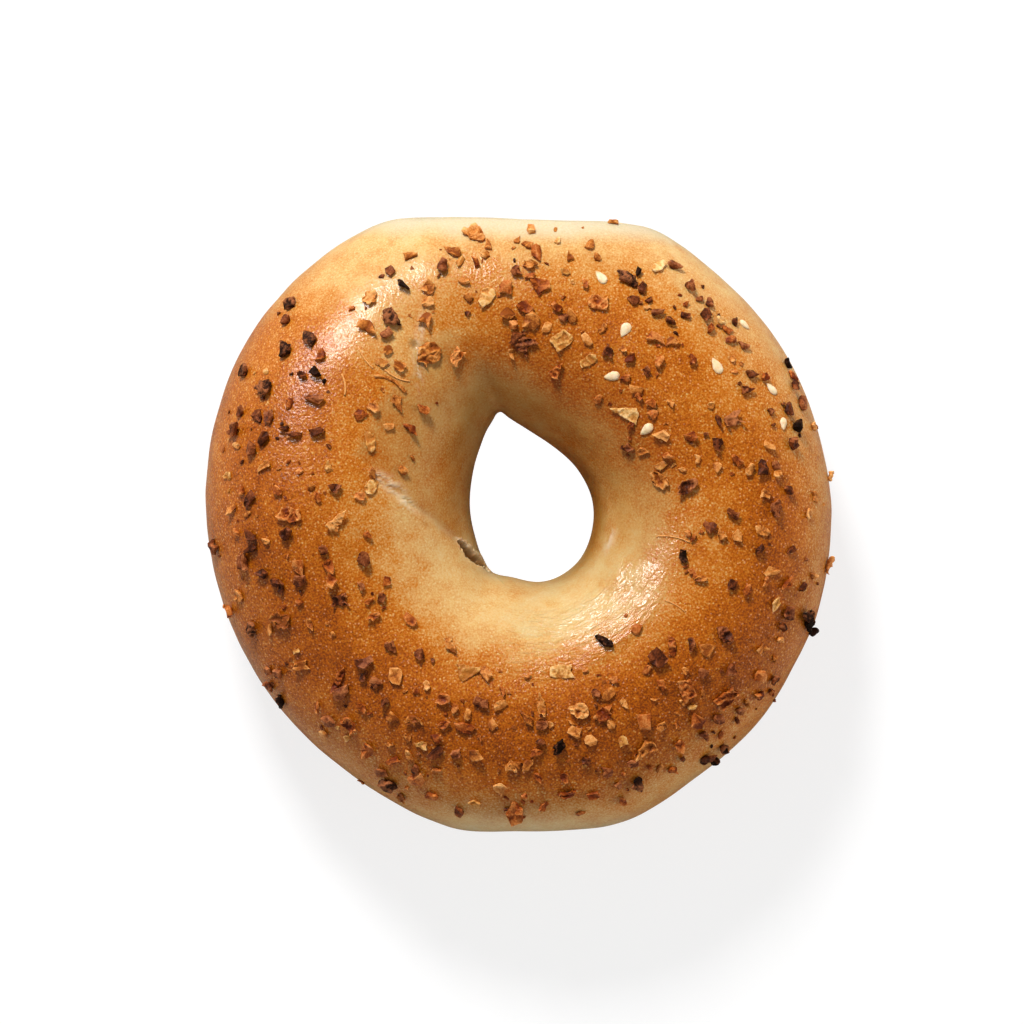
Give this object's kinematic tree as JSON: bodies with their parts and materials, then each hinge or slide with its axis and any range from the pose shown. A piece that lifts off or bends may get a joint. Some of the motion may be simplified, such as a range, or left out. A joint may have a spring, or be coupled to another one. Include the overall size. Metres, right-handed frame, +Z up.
{
  "type": "bagel",
  "caption": "Round baked bagel with an off-centre teardrop hole, a glossy browned crown, two pressed sides and a flat underside, strewn with dried onion, garlic, sesame and charred bits.",
  "frame": {"origin": "on the table under the middle of the whole piece", "axes": "+Z up from the flat underside, +X and +Y across the crown, +X along the slightly longer width; the two pressed sides face +Y and -Y"},
  "size_m": [0.1102, 0.1076, 0.0394],
  "materials": {
    "baked_crust": "thin glossy amber-brown baked crust, egg-shell sheen on the crown, matt and paler on the pressed sides and the underside",
    "sesame_hull": "smooth satin ivory seed hull",
    "garlic": "pale yellow, slightly translucent dried chip",
    "onion_tan": "tan to orange dried onion, papery, with lighter edges",
    "onion_toasted": "toasted red-brown dried onion",
    "onion_dark": "dark, nearly burnt dried onion",
    "charred": "matt black-brown char"
  },
  "bodies": {
    "root": {"dough_ring": "baked_crust", "sesame_seed_1": "sesame_hull", "sesame_seed_2": "sesame_hull", "sesame_seed_3": "sesame_hull", "sesame_seed_4": "sesame_hull", "sesame_seed_5": "sesame_hull", "sesame_seed_6": "sesame_hull", "sesame_seed_7": "sesame_hull", "sesame_seed_8": "sesame_hull", "garlic_chip_1": "garlic", "garlic_chip_2": "garlic", "garlic_chip_3": "garlic", "garlic_chip_4": "garlic", "garlic_chip_5": "garlic", "garlic_chip_6": "garlic", "garlic_chip_7": "garlic", "garlic_chip_8": "garlic", "garlic_chip_9": "garlic", "onion_flake_1": "onion_tan", "onion_flake_2": "onion_tan", "onion_flake_3": "onion_toasted", "onion_flake_4": "onion_tan", "onion_flake_5": "onion_toasted", "onion_flake_6": "onion_tan", "onion_flake_7": "onion_tan", "onion_flake_8": "onion_dark", "onion_flake_9": "onion_toasted", "onion_flake_10": "onion_toasted", "onion_flake_11": "onion_tan", "onion_flake_12": "onion_tan", "onion_flake_13": "onion_tan", "onion_flake_14": "onion_toasted", "onion_flake_15": "onion_tan", "onion_flake_16": "onion_toasted", "onion_flake_17": "onion_toasted", "onion_flake_18": "onion_tan", "onion_flake_19": "onion_dark", "onion_flake_20": "onion_toasted", "onion_flake_21": "onion_dark", "onion_flake_22": "onion_tan", "onion_flake_23": "onion_dark", "onion_flake_24": "onion_toasted", "onion_flake_25": "onion_toasted", "onion_flake_26": "onion_dark", "onion_flake_27": "onion_tan", "onion_flake_28": "onion_toasted", "charred_bit_1": "charred", "charred_bit_2": "charred", "charred_bit_3": "charred", "charred_bit_4": "charred", "charred_bit_5": "charred", "charred_bit_6": "charred", "charred_bit_7": "charred", "charred_bit_8": "charred", "charred_bit_9": "charred", "charred_bit_10": "charred", "charred_bit_11": "charred", "charred_bit_12": "charred", "charred_bit_13": "charred", "onion_strand": "onion_tan"}
  },
  "joints": []
}
